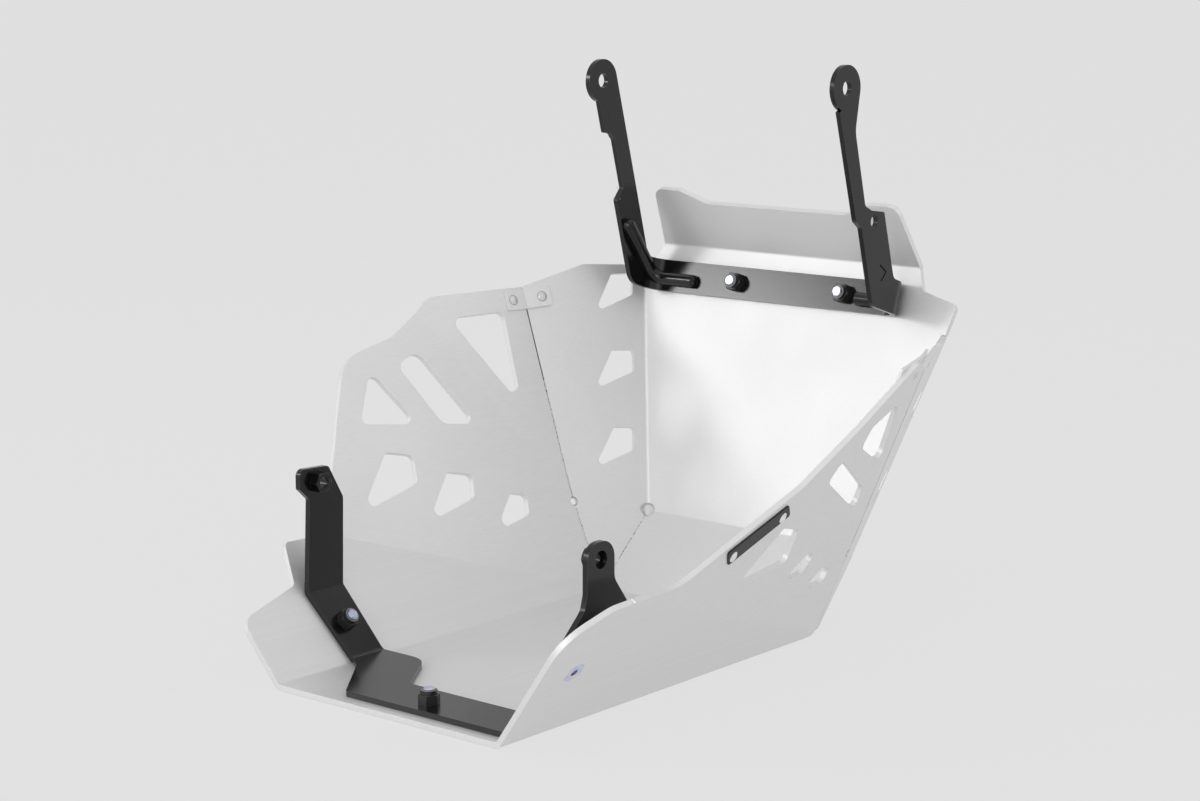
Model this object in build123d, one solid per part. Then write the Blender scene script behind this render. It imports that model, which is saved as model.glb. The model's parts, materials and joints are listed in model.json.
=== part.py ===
from build123d import *
import math
import os

os.makedirs("parts", exist_ok=True)

# sheet tray, all lines measured on the inner face (mm, degrees)
SHEET = 4.0
BEND = 3.0
CREASE_BEND = 14.0
FLOOR_LENGTH = 338.6
FLOOR_HALF = 98.0
CHAMFER_TILT = 52.4
NOSE_TILT = 44.0
NOSE_LENGTH = 74.9
NOSE_IN = 2.9
FRONT_TILT = 72.3
FRONT_HEIGHT = 211.4
NOSE_HALF = FLOOR_HALF - NOSE_IN

# front corner of the side walls, measured from the corner of the floor
KNUCKLE_OUT = 30.8
KNUCKLE_BACK = 0.2
KNUCKLE_UP = 71.6

# slopes of the fold lines on their panels
SIDE_FOLD_RISE = 0.4087
CREASE_BACK = 0.649
SLIT_BACK = 0.0907

# how far the folds of each side wall run, and where its corner ends below the flange
LEFT_FOLD_REACH = 254.2
LEFT_CREASE_REACH = 185.7
LEFT_SLIT_REACH = 164.8
LEFT_CORNER_DROP = 18.4
RIGHT_FOLD_REACH = 321.0
RIGHT_CREASE_REACH = 128.0
RIGHT_SLIT_REACH = 138.0
RIGHT_CORNER_DROP = 48.0

# open slit between shoulder and cheek, welded seams and corner reliefs
SLIT_GAP = 1.2
SLOT_LENGTH = 20.0
SEAM_BEAD = 1.8
BEAD_DEPTH = 2.8
BEAD_SHORT = 5.0
RELIEF_RADIUS = 5.5
KNUCKLE_HOLE = 3.2
KNUCKLE_HOLE_DROP = 8.0

# flange above the front panel
FLANGE_HALF = FLOOR_HALF + 21.8
FLANGE_SHIFT = -10.5
FLANGE_LEAN = 27.0
FLANGE_HEIGHT = 41.2
FLANGE_EAR = 51.5
FLANGE_EAR_INNER = FLANGE_HALF - 31.8
FLANGE_DIP_HALF = FLANGE_HALF - 55.3
FLANGE_TAPER = 7.3

# corner rounding of the windows
SIDE_WINDOW_ROUND = 5.0
SHOULDER_WINDOW_ROUND = 6.0
KITE_ROUND = 3.0

# upper bracket: cross bar on the front panel and two arms
BRACKET = 4.0
BAR_DROP = 13.4
BAR_HEIGHT = 25.0
ARM_BEND = 12.0
LEFT_ARM_X = -132.0
RIGHT_ARM_X = 99.0
ARM_LEAN = 33.1
RIGHT_ARM_WIDTH = 36.0
RIGHT_ARM_STEP = 5.6
EYE_RADIUS = 16.5
EYE_HOLE = 5.5
SPARE_HOLE = 4.5
ROD_RADIUS = 5.0
ROD_REACH_LEFT = 42.0
ROD_REACH_RIGHT = 35.0
ROD_RISE = 52.0
ROD_TOP = 18.5
ROD_LOW = 9.5
ROD_BEND = 11.0

# lower bracket: floor plate, two legs on the chamfers and two ears
LEG_BEND = 4.0
LEFT_FOLD_UP = 57.3
RIGHT_FOLD_UP = 78.6
EAR_RADIUS = 13.0
EAR_CREST = 11.5
EAR_HOLE = 5.8
RIGHT_LEG_REAR = 9.5
RIGHT_LEG_FRONT = 49.0
LEFT_LEG_REAR = 68.0
LEFT_LEG_FRONT = 97.5

# fasteners
SCREW_RADIUS = 4.0
SCREW_PLAY = 0.2
SCREW_END = 1.6
END_CHAMFER = 0.8
HEAD_RADIUS = 7.8
SOCKET = 5.0
SOCKET_DEPTH = 2.4
NUT_WIDTH = 13.0
NUT_HEIGHT = 7.0
COLLAR_RADIUS = 5.6
COLLAR_HEIGHT = 2.4
WELD_NUT_HEIGHT = 6.5
RIVET_RADIUS = 2.0
RIVET_HEAD = 3.8
RIVET_DOME = 1.3
SMALL_HEAD = 0.8
UPPER_SCREW_X = 50.0

# thin plates that bridge the slits, and the bare name plate
JOIN_PLATE = 2.0
JOIN_BEND = 2.0
JOIN_HIGH = 16.0
LEFT_JOIN_REAR = 19.0
RIGHT_JOIN_REAR = 28.0
RIGHT_JOIN_SLOPE = 0.22
JOIN_FRONT = 22.0
JOIN_RIVET_REAR = 12.5
JOIN_RIVET_FRONT = 14.5
LEFT_JOIN_DROP = 2.3
RIGHT_JOIN_RISE = 9.0
NAME_PLATE = 1.0

LOW = (Align.CENTER, Align.CENTER, Align.MIN)
UP = Vector(0, 0, 1)


def rad(angle):
    return math.radians(angle)


def ahead(distance):
    """Place along a side panel, given as a distance ahead of the floor's rear edge."""
    return FLOOR_LENGTH - distance


def side_frame(first, second, third):
    """Panel plane: x rearward, y up the slope, z into the tray."""
    normal = (second - first).cross(third - first).normalized()
    if normal.X > 0:
        normal = normal * -1
    return Plane(origin=first, x_dir=UP.cross(normal), z_dir=normal)


def front_frame(height, tilt, start):
    """Cross panel: x to the right, y up the slope, z into the tray."""
    return Plane(
        origin=Vector(0, start, height),
        x_dir=(1, 0, 0),
        z_dir=(0, -math.sin(rad(tilt)), math.cos(rad(tilt))),
    )


def flat(frame, point):
    local = frame.to_local_coords(point)
    return local.X, local.Y


def shrink(points):
    """Moves each outline edge inward by the inset stored with its first point."""
    count = len(points)
    area = sum(
        points[i][0] * points[(i + 1) % count][1] - points[(i + 1) % count][0] * points[i][1]
        for i in range(count)
    )
    turn = 1 if area > 0 else -1
    lines = []
    for i in range(count):
        ax, ay = points[i][:2]
        bx, by = points[(i + 1) % count][:2]
        length = math.hypot(bx - ax, by - ay)
        dx = (bx - ax) / length
        dy = (by - ay) / length
        inset = points[i][3] if len(points[i]) > 3 else 0.0
        lines.append((ax - dy * inset * turn, ay + dx * inset * turn, dx, dy, inset))
    corners = []
    for i in range(count):
        ax, ay, adx, ady, before = lines[i - 1]
        bx, by, bdx, bdy, after = lines[i]
        cross = adx * bdy - ady * bdx
        radius = points[i][2] if len(points[i]) > 2 else 0.0
        if (before == 0 and after == 0) or abs(cross) < 0.001:
            corners.append((bx, by, radius))
        else:
            step = ((bx - ax) * bdy - (by - ay) * bdx) / cross
            corners.append((ax + adx * step, ay + ady * step, radius))
    return corners


def outline(points):
    """Closed face from (x, y, corner radius, inset of the following edge)."""
    corners = shrink(points)
    count = len(corners)
    ends = []
    for i in range(count):
        x, y, radius = corners[i]
        px, py = corners[i - 1][:2]
        nx, ny = corners[(i + 1) % count][:2]
        before = Vector(px - x, py - y, 0).normalized()
        after = Vector(nx - x, ny - y, 0).normalized()
        here = Vector(x, y, 0)
        if radius > 0:
            half = math.acos(max(-1.0, min(1.0, before.dot(after)))) / 2
            reach = radius / math.tan(half)
            middle = (before + after).normalized() * (radius / math.sin(half) - radius)
            ends.append((here + before * reach, here + middle, here + after * reach))
        else:
            ends.append((here, None, here))
    edges = []
    for i in range(count):
        start, middle, stop = ends[i]
        if middle is not None:
            edges.append(Edge.make_three_point_arc(start, middle, stop))
        following = ends[(i + 1) % count][0]
        if (following - stop).length > 0.01:
            edges.append(Edge.make_line(stop, following))
    return Face(Wire(edges))


def panel(frame, points, thickness):
    """Flat plate that grows outward from the frame's plane."""
    return extrude(frame * outline(points), amount=thickness, dir=frame.z_dir * -1)


def window(frame, points, radius):
    rounded = [(point[0], point[1], point[2] if len(point) > 2 else radius) for point in points]
    return extrude(frame * outline(rounded), amount=3 * SHEET, both=True)


def fold(start, stop, first, second, radius, thickness):
    """Bent strip between two panels whose inner faces meet on start-stop."""
    one = first.z_dir
    two = second.z_dir
    half = math.acos(max(-1.0, min(1.0, one.dot(two)))) / 2
    middle = (one + two).normalized()
    centre = start + middle * (radius / math.cos(half))
    outer = radius + thickness
    edges = [
        Edge.make_line(centre - one * radius, centre - one * outer),
        Edge.make_three_point_arc(centre - one * outer, centre - middle * outer, centre - two * outer),
        Edge.make_line(centre - two * outer, centre - two * radius),
    ]
    if radius > 0:
        edges.append(
            Edge.make_three_point_arc(
                centre - two * radius, centre - middle * radius, centre - one * radius
            )
        )
    return Solid.extrude(Face(Wire(edges)), stop - start)


def setback(first, second, radius):
    """Distance from a fold line to where its bend begins on either panel."""
    angle = math.acos(max(-1.0, min(1.0, first.z_dir.dot(second.z_dir))))
    return radius * math.tan(angle / 2)


def rod(start, stop, radius):
    direction = stop - start
    return Solid.make_cylinder(radius, direction.length, Plane(origin=start, z_dir=direction))


def join(pieces):
    """Fuses touching pieces into the one solid that they form."""
    return pieces[0].fuse(*pieces[1:]).solids()[0]


def mirrored(shape):
    return mirror(shape, about=Plane.YZ)


# corners of the right half; the left half is mirrored
corner_floor = Vector(FLOOR_HALF, FLOOR_LENGTH / 2, SHEET)
corner_rear = Vector(FLOOR_HALF, -FLOOR_LENGTH / 2, SHEET)
knuckle = corner_floor + Vector(KNUCKLE_OUT, -KNUCKLE_BACK, KNUCKLE_UP)
nose_y = FLOOR_LENGTH / 2 + NOSE_LENGTH * math.cos(rad(NOSE_TILT))
nose_z = SHEET + NOSE_LENGTH * math.sin(rad(NOSE_TILT))
corner_nose = Vector(NOSE_HALF, nose_y, nose_z)

floor_frame = Plane(origin=(0, 0, SHEET))
nose_frame = front_frame(SHEET, NOSE_TILT, FLOOR_LENGTH / 2)
front = front_frame(nose_z, FRONT_TILT, nose_y)
flange_y = nose_y + FRONT_HEIGHT * math.cos(rad(FRONT_TILT))
flange_z = nose_z + FRONT_HEIGHT * math.sin(rad(FRONT_TILT))
flange_frame = front_frame(flange_z, 90 + FLANGE_LEAN, flange_y)

chamfer = Plane(
    origin=corner_floor,
    x_dir=(0, -1, 0),
    z_dir=(-math.sin(rad(CHAMFER_TILT)), 0, math.cos(rad(CHAMFER_TILT))),
)
side_fold = (chamfer.x_dir + chamfer.y_dir * SIDE_FOLD_RISE).normalized()
side = side_frame(corner_floor, corner_floor + side_fold, knuckle)
cheek = side_frame(corner_floor, knuckle, corner_nose)
crease = (side.x_dir * CREASE_BACK + side.y_dir).normalized()
slit = (cheek.x_dir * SLIT_BACK + cheek.y_dir).normalized()
shoulder = side_frame(knuckle, knuckle + crease, knuckle + slit)
corner_fold = cheek.z_dir.cross(front.z_dir).normalized()
corner_fold = corner_fold * math.copysign(1, corner_fold.Z)

floor_inset = setback(floor_frame, chamfer, BEND)
side_inset = setback(chamfer, side, BEND)
nose_inset = setback(floor_frame, nose_frame, BEND)
front_inset = setback(nose_frame, front, BEND)
cheek_inset = setback(cheek, front, BEND)
flange_inset = setback(front, flange_frame, BEND)
crease_inset = setback(side, shoulder, CREASE_BEND)


def corner_top(drop):
    """Upper end of the fold between cheek and front panel."""
    rise = flat(front, corner_nose + corner_fold)[1]
    return corner_nose + corner_fold * ((FRONT_HEIGHT - drop) / rise)


def side_walls(reaches, low, middle, high, tail):
    """Four wall panels with their folds; the lists hold the free top edge of each panel."""
    fold_reach, crease_reach, slit_reach, drop = reaches
    fold_end = corner_floor + side_fold * fold_reach
    crease_end = knuckle + crease * crease_reach
    slit_end = knuckle + slit * slit_reach
    top = corner_top(drop)
    return [
        panel(
            chamfer,
            [(0, 0, 0, floor_inset), (FLOOR_LENGTH, 0, 0)]
            + low
            + [(*flat(chamfer, fold_end), 0, side_inset)],
            SHEET,
        ),
        panel(
            side,
            [(0, 0, 0), (*flat(side, knuckle), 0, crease_inset), (*flat(side, crease_end), 0)]
            + middle
            + [(*flat(side, fold_end), 0, side_inset)],
            SHEET,
        ),
        panel(
            shoulder,
            [(0, 0, 0, SLIT_GAP / 2), (*flat(shoulder, slit_end), 0)]
            + high
            + [(*flat(shoulder, crease_end), 0, crease_inset)],
            SHEET,
        ),
        panel(
            cheek,
            [(0, 0, 0), (*flat(cheek, corner_nose), 0, cheek_inset), (*flat(cheek, top), 0)]
            + tail
            + [(*flat(cheek, slit_end), 0, SLIT_GAP / 2), (*flat(cheek, knuckle), 0)],
            SHEET,
        ),
        fold(corner_rear, corner_floor, floor_frame, chamfer, BEND, SHEET),
        fold(corner_floor, fold_end, chamfer, side, BEND, SHEET),
        fold(knuckle, crease_end, side, shoulder, CREASE_BEND, SHEET),
        fold(corner_nose, top, cheek, front, BEND, SHEET),
    ]


def left_walls():
    return side_walls(
        (LEFT_FOLD_REACH, LEFT_CREASE_REACH, LEFT_SLIT_REACH, LEFT_CORNER_DROP),
        [(ahead(-3.0), 50, 12), (ahead(53.6), 65, 5), (ahead(63.6), 97.2, 5)],
        [(132.9, 218.1, 30), (183.9, 206.4, 36)],
        [(40, 165), (88.5, 165, 12)],
        [(-27.5, 256.3, 4)],
    )


def right_walls():
    return side_walls(
        (RIGHT_FOLD_REACH, RIGHT_CREASE_REACH, RIGHT_SLIT_REACH, RIGHT_CORNER_DROP),
        [(ahead(-10.4), 100.5, 28), (ahead(22.6), 120, 20)],
        [(127, 149.6, 30), (251, 102.2, 60)],
        [(9, 147.5, 10)],
        [(10, 220.5, 12)],
    )


def welded_seams():
    """Filled corners where side and nose panel butt against the cheek, with a round bead outside."""
    pieces = []
    for stop, one in ((knuckle, side), (corner_nose, nose_frame)):
        pieces.append(fold(corner_floor, stop, one, cheek, 0, SHEET))
        away = (one.z_dir + cheek.z_dir).normalized() * BEAD_DEPTH
        along = (stop - corner_floor).normalized() * BEAD_SHORT
        pieces.append(rod(corner_floor - away + along, stop - away - along, SEAM_BEAD))
    return pieces


def relief_cuts():
    """Round reliefs at the three corners where folds and seams run together, and the slit's slot."""
    floor_way = (floor_frame.z_dir + side.z_dir + nose_frame.z_dir).normalized()
    nose_way = (nose_frame.z_dir + cheek.z_dir + front.z_dir).normalized()
    side_way = (side.z_dir + cheek.z_dir).normalized()
    seam = (corner_floor - knuckle).normalized()
    hole_point = knuckle + seam * KNUCKLE_HOLE_DROP
    depth = 3.5 * SHEET
    cuts = [
        rod(point - way * depth, point + way * depth, radius)
        for point, way, radius in (
            (corner_floor, floor_way, RELIEF_RADIUS),
            (corner_nose, nose_way, RELIEF_RADIUS),
            (hole_point, side_way, KNUCKLE_HOLE),
        )
    ]
    slot_frame = Plane(origin=hole_point, x_dir=side_way, z_dir=slit)
    cuts.append(extrude(slot_frame * Rectangle(5 * SHEET, SLIT_GAP), amount=SLOT_LENGTH))
    return cuts


# window corners: three kites in each cheek, then the cut-outs of each side wall and shoulder
CHEEK_KITES = [
    [(-31, 216.6), (-50.6, 247.2), (-69.5, 246.6), (-66.3, 229)],
    [(-20.4, 155), (-40.8, 185.7), (-59.5, 184.6), (-57, 167.2)],
    [(-9.8, 93.1), (-32, 124.1), (-49.2, 122.4), (-46, 104.6)],
]
LEFT_WINDOWS = [
    [(163.3, 195.6, 6.5), (185.1, 156.6), (132.1, 149.4)],
    [(137.1, 196.3, 6), (114.8, 204.5, 10), (76.9, 142.3), (109.2, 146.7, 12)],
    [(205.2, 91.8), (169.7, 133), (145, 127.4), (147.7, 106)],
    [(148.4, 75.6), (117.7, 110.5), (95.2, 105), (98.7, 87.4)],
    [(87.9, 58.7), (63.3, 86), (48, 81.7), (50.9, 66.3)],
]
RIGHT_WINDOWS = [
    [(89.9, 145.9), (80.4, 161.2), (25.8, 128.7), (25, 110.5)],
    [(171.2, 81.3), (130.5, 118.9), (105, 112), (104.1, 86.3)],
    [(103.1, 65.9), (73.3, 86.3), (60.5, 82.5), (69, 68.9)],
    [(58.3, 50.6), (38, 66), (23.2, 62), (27.8, 50.5)],
]
LEFT_SHOULDER = [(75, 147), (21.3, 147), (26.2, 71.2)]
RIGHT_SHOULDER = [(56, 88), (51, 103), (19, 117), (11, 68)]


def windows(side_shapes, shoulder_shape):
    cuts = [window(side, shape, SIDE_WINDOW_ROUND) for shape in side_shapes]
    cuts.append(window(shoulder, shoulder_shape, SHOULDER_WINDOW_ROUND))
    cuts += [window(cheek, shape, KITE_ROUND) for shape in CHEEK_KITES]
    return cuts


def front_panel():
    left_end = FLANGE_SHIFT - FLANGE_HALF
    right_end = FLANGE_SHIFT + FLANGE_HALF
    left_x, left_top = flat(front, corner_top(LEFT_CORNER_DROP))
    right_x, right_top = flat(front, corner_top(RIGHT_CORNER_DROP))
    return panel(
        front,
        [
            (-NOSE_HALF, 0, 0, front_inset),
            (NOSE_HALF, 0, 0, cheek_inset),
            (right_x, right_top, 0),
            (right_x + 2.5, right_top, 0),
            (right_x + 7.5, right_top + 23, 5),
            (right_end + 6, FRONT_HEIGHT - 16.9, 4),
            (right_end, FRONT_HEIGHT, 0, flange_inset),
            (left_end, FRONT_HEIGHT, 0),
            (left_end - 6.6, FRONT_HEIGHT - 11, 4),
            (-left_x, left_top, 0, cheek_inset),
        ],
        SHEET,
    )


def flange():
    """Upper flange with two raised ends and a dip between them."""
    shape = [
        (FLANGE_HALF, 0, 0),
        (FLANGE_HALF - FLANGE_TAPER, FLANGE_EAR, 9),
        (FLANGE_EAR_INNER, FLANGE_EAR, 8),
        (FLANGE_DIP_HALF, FLANGE_HEIGHT, 12),
    ]
    right_part = [(FLANGE_SHIFT + x, y, r) for x, y, r in shape]
    left_part = [(FLANGE_SHIFT - x, y, r) for x, y, r in reversed(shape[1:])]
    last = [(FLANGE_SHIFT - FLANGE_HALF, 0, 0, flange_inset)]
    return panel(flange_frame, right_part + left_part + last, SHEET)


def floor_and_nose():
    rear = -FLOOR_LENGTH / 2
    return [
        panel(
            floor_frame,
            [
                (FLOOR_HALF, rear, 0, floor_inset),
                (FLOOR_HALF, -rear, 0, nose_inset),
                (-FLOOR_HALF, -rear, 0, floor_inset),
                (-FLOOR_HALF, rear, 0),
            ],
            SHEET,
        ),
        panel(
            nose_frame,
            [
                (-FLOOR_HALF, 0, 0, nose_inset),
                (FLOOR_HALF, 0, 0),
                (NOSE_HALF, NOSE_LENGTH, 0, front_inset),
                (-NOSE_HALF, NOSE_LENGTH, 0),
            ],
            SHEET,
        ),
    ]


def cross_folds():
    """Folds that run across the tray: floor to nose, nose to front, front to flange."""
    lines = [
        (corner_floor, floor_frame, nose_frame),
        (corner_nose, nose_frame, front),
    ]
    strips = []
    for right, one, two in lines:
        left = Vector(-right.X, right.Y, right.Z)
        strips.append(fold(left, right, one, two, BEND, SHEET))
    left = Vector(FLANGE_SHIFT - FLANGE_HALF, flange_y, flange_z)
    right = Vector(FLANGE_SHIFT + FLANGE_HALF, flange_y, flange_z)
    strips.append(fold(left, right, front, flange_frame, BEND, SHEET))
    return strips


def skid_plate():
    pieces = floor_and_nose() + [front_panel(), flange()] + cross_folds()
    pieces += right_walls() + welded_seams()
    pieces += [mirrored(piece) for piece in left_walls() + welded_seams()]
    cuts = relief_cuts() + windows(RIGHT_WINDOWS, RIGHT_SHOULDER)
    cuts += [rivet_hole(place) for place in join_spots(RIGHT_JOIN)]
    left_cuts = relief_cuts() + windows(LEFT_WINDOWS, LEFT_SHOULDER)
    left_cuts.append(countersink(spot(chamfer, *LEFT_SCREW)))
    left_cuts += [rivet_hole(place) for place in join_spots(LEFT_JOIN)]
    cuts += [mirrored(cut) for cut in left_cuts]
    cuts += [countersink(place) for place in screw_places().values()]
    cuts += [rivet_hole(spot(side, *place)) for place in NAME_RIVETS]
    return join(pieces).cut(*cuts)


def spot(frame, u, v):
    """Location on a panel plane, its z axis into the tray."""
    return frame * Pos(u, v, 0)


# upper bracket, in the plane of an arm: along the arm, across it, corner radius
LEFT_EYE = (149.5, 16.5)
RIGHT_EYE = (156.6, 29.9)
SPARE = (53.2, 19.8)
bar_low = FRONT_HEIGHT - BAR_DROP - BAR_HEIGHT
bar_high = bar_low + BAR_HEIGHT
bar_middle = bar_low + BAR_HEIGHT / 2


def arm_points(points):
    """Turns (along the arm, across it, radius) into (inward, up the front panel, radius)."""
    lean_sin = math.sin(rad(ARM_LEAN))
    lean_cos = math.cos(rad(ARM_LEAN))
    inward = BRACKET + ARM_BEND
    return [
        (inward + p * lean_sin + q * lean_cos, bar_high + p * lean_cos - q * lean_sin, radius)
        for p, q, radius in points
    ]


def arm_foot(q, radius):
    """Corner where the rear border of an arm meets the lower line of the bar."""
    low = (-BAR_HEIGHT + q * math.sin(rad(ARM_LEAN))) / math.cos(rad(ARM_LEAN))
    return arm_points([(low, q, radius)])[0]


def arm_plane(x):
    return Plane(origin=Vector(x, nose_y, nose_z), x_dir=front.z_dir, z_dir=(-1, 0, 0))


def arm(x, outward, shape, eye, holes):
    """Flat arm beside the bar, with a round eye at its end."""
    inward = BRACKET + ARM_BEND
    frame = arm_plane(x)
    way = Vector(outward, 0, 0)
    border = [(inward, bar_low, 0)] + shape + [(inward, bar_high, 0)]
    blank = extrude(frame * outline(border), amount=BRACKET, dir=way)
    centre = arm_points([(*eye, 0)])[0]
    disc = frame * Pos(centre[0], centre[1], 0) * Circle(EYE_RADIUS)
    blank = blank.fuse(extrude(disc, amount=BRACKET, dir=way))
    cuts = []
    for p, q, radius in holes:
        place = arm_points([(p, q, 0)])[0]
        hole = frame * Pos(place[0], place[1], 0) * Circle(radius)
        cuts.append(extrude(hole, amount=2 * BRACKET, both=True))
    return blank.cut(*cuts)


def left_arm():
    """Arm with a shallow notch along its rear border."""
    shape = [arm_foot(BAR_HEIGHT, 16)] + arm_points(
        [
            (55.5, BAR_HEIGHT, 1.5),
            (62, 15.6, 1.5),
            (101.5, 15.6, 2),
            (107.5, 18.5, 2),
            (110.5, BAR_HEIGHT, 2),
            (LEFT_EYE[0], BAR_HEIGHT, 0),
            (LEFT_EYE[0], 0, 0),
        ]
    )
    return arm(LEFT_ARM_X, -1, shape, LEFT_EYE, [(*LEFT_EYE, EYE_HOLE)])


def right_arm():
    """Wider arm that steps rearward above its spare hole."""
    shape = [arm_foot(RIGHT_ARM_WIDTH, 10)] + arm_points(
        [
            (54, RIGHT_ARM_WIDTH, 3),
            (61, 41.5, 5),
            (143, 42.6, 0),
            (150, 14.8, 0),
            (124, 27.3, 20),
            (68, 28, 4),
            (62, 20.8, 1.5),
            (55.5, 5.8, 2),
        ]
    )
    corner = BRACKET + ARM_BEND + RIGHT_ARM_STEP / math.cos(rad(ARM_LEAN))
    shape.append((corner, bar_high, 6))
    holes = [(*RIGHT_EYE, EYE_HOLE), (*SPARE, SPARE_HOLE)]
    return arm(RIGHT_ARM_X, 1, shape, RIGHT_EYE, holes)


def corner_rod(x, toward, reach):
    """Round bar with rounded ends, bent into the corner between an arm and the cross bar."""
    frame = arm_plane(x)
    lift = ROD_RADIUS / 2
    points = []
    for away, inward, up in (
        (lift, ROD_RISE, bar_high + ROD_TOP),
        (lift, BRACKET + lift, bar_low + ROD_LOW),
        (reach, BRACKET + lift, bar_low + ROD_LOW),
    ):
        place = frame.from_local_coords(Vector(inward, up, 0))
        points.append(place + Vector(toward * away, 0, 0))
    first, second, third = points
    path = FilletPolyline(*points, radius=ROD_BEND)
    pieces = [sweep(Plane(origin=first, z_dir=second - first) * Circle(ROD_RADIUS), path)]
    for end, inner in ((first, second), (third, second)):
        pieces.append(Plane(origin=end, z_dir=end - inner) * Sphere(ROD_RADIUS, arc_size1=0))
    return pieces


def upper_bracket():
    bar_plane = front.offset(BRACKET)
    ends = [LEFT_ARM_X + ARM_BEND, RIGHT_ARM_X - ARM_BEND]
    border = [(ends[0], bar_low), (ends[1], bar_low), (ends[1], bar_high), (ends[0], bar_high)]
    pieces = [panel(bar_plane, border, BRACKET), left_arm(), right_arm()]
    for x, toward in ((LEFT_ARM_X, 1), (RIGHT_ARM_X, -1)):
        start = bar_plane.from_local_coords(Vector(x, bar_low, 0))
        stop = bar_plane.from_local_coords(Vector(x, bar_high, 0))
        inner = Plane(origin=(x, 0, 0), z_dir=(toward, 0, 0))
        pieces.append(fold(start, stop, bar_plane, inner, ARM_BEND, BRACKET))
    pieces += corner_rod(LEFT_ARM_X, 1, ROD_REACH_LEFT)
    pieces += corner_rod(RIGHT_ARM_X, -1, ROD_REACH_RIGHT)
    cuts = [screw_hole(spot(front, x, bar_middle)) for x in (-UPPER_SCREW_X, UPPER_SCREW_X)]
    return join(pieces).cut(*cuts)


# lower bracket, on a side panel or ear: along the tray, up
LEFT_THREAD = (ahead(69.5), 127.6)
RIGHT_THREAD = (ahead(44.5), 120.0)
LEFT_SCREW = (ahead(77.1), 29.0)
RIGHT_SCREW = (ahead(27.0), 61.8)
BOTTOM_SCREW = (18.0, 24.0 - FLOOR_LENGTH / 2)


def ear_frame(fold_up):
    """Vertical plane at the inner face of a lower ear, z into the tray."""
    foot = chamfer.from_local_coords(Vector(0, fold_up, 0))
    origin = Vector(foot.X - BRACKET, FLOOR_LENGTH / 2, 0)
    return Plane(origin=origin, x_dir=(0, -1, 0), z_dir=(-1, 0, 0))


def leg_and_ear(fold_up, foot_rear, foot_front, top_rear, top_front, shape):
    """Leg flat on the chamfer, folded up into a vertical ear; places are rearward distances."""
    floor_plane = floor_frame.offset(BRACKET)
    leg = chamfer.offset(BRACKET)
    ear = ear_frame(fold_up)
    foot_up = setback(floor_frame, chamfer, BRACKET)
    leg_top = fold_up - setback(chamfer, ear, BRACKET)
    ear_low = leg.from_local_coords(Vector(0, leg_top, 0)).Z
    low_inset = setback(floor_frame, chamfer, LEG_BEND)
    top_inset = setback(chamfer, ear, LEG_BEND)
    leg_panel = panel(
        leg,
        [
            (foot_front, foot_up, 0, low_inset),
            (foot_rear, foot_up, 0),
            (top_rear, leg_top, 0, top_inset),
            (top_front, leg_top, 0),
        ],
        BRACKET,
    )
    ear_panel = panel(
        ear,
        [(top_front, ear_low, 0, top_inset), (top_rear, ear_low, 0)] + shape,
        BRACKET,
    )
    strips = []
    for height, rear, ahead_end, one, two in (
        (foot_up, foot_rear, foot_front, floor_plane, leg),
        (leg_top, top_rear, top_front, leg, ear),
    ):
        start = leg.from_local_coords(Vector(rear, height, 0))
        stop = leg.from_local_coords(Vector(ahead_end, height, 0))
        strips.append(fold(start, stop, one, two, LEG_BEND, BRACKET))
    return [leg_panel, ear_panel] + strips


def right_leg():
    u, z = RIGHT_THREAD
    return leg_and_ear(
        RIGHT_FOLD_UP, ahead(RIGHT_LEG_REAR), ahead(RIGHT_LEG_FRONT), ahead(9), ahead(82),
        [
            (ahead(10.6), 73, 4),
            (ahead(28.8), 90, 10),
            (u + EAR_RADIUS, z - 20, 0),
            (u + EAR_RADIUS, z + EAR_CREST, EAR_CREST),
            (u - EAR_RADIUS, z + EAR_CREST, EAR_CREST),
            (u - EAR_RADIUS, z - 14, 10),
            (ahead(82), 73, 4),
        ],
    )


def left_leg():
    u, z = LEFT_THREAD
    return leg_and_ear(
        LEFT_FOLD_UP, ahead(LEFT_LEG_REAR), ahead(LEFT_LEG_FRONT), ahead(58.5), ahead(92),
        [
            (u + 8, z - 11.6, 2),
            (u + 17.1, z - 3.1, 2),
            (u + 17.1, z + 10.7, 5),
            (u - 10.3, z + 9.6, 4),
            (u - 24.1, z - 14.6, 6),
        ],
    )


def lower_bracket():
    rear = -FLOOR_LENGTH / 2
    floor_plane = floor_frame.offset(BRACKET)
    edge = FLOOR_HALF - setback(floor_frame, chamfer, BRACKET)
    inset = setback(floor_frame, chamfer, LEG_BEND)
    base = panel(
        floor_plane,
        [
            (edge, rear + RIGHT_LEG_REAR, 0, inset),
            (edge, rear + RIGHT_LEG_FRONT, 0),
            (-23.5, rear + RIGHT_LEG_FRONT, 5),
            (-56, rear + LEFT_LEG_FRONT - 0.5, 22),
            (-edge, rear + LEFT_LEG_FRONT, 0, inset),
            (-edge, rear + LEFT_LEG_REAR, 0),
            (-81, rear + LEFT_LEG_REAR - 11.6, 10),
            (-44, rear + RIGHT_LEG_REAR, 5),
        ],
        BRACKET,
    )
    pieces = [base] + right_leg() + [mirrored(piece) for piece in left_leg()]
    cuts = [
        screw_hole(spot(floor_frame, *BOTTOM_SCREW)),
        screw_hole(spot(chamfer, *RIGHT_SCREW)),
        ear_hole(spot(ear_frame(RIGHT_FOLD_UP), *RIGHT_THREAD)),
        mirrored(screw_hole(spot(chamfer, *LEFT_SCREW))),
        mirrored(ear_hole(spot(ear_frame(LEFT_FOLD_UP), *LEFT_THREAD))),
    ]
    return join(pieces).cut(*cuts)


def screw_hole(place):
    return place * Cylinder(SCREW_RADIUS + SCREW_PLAY, 4 * BRACKET)


def ear_hole(place):
    return place * Cylinder(EAR_HOLE, 4 * BRACKET)


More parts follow.
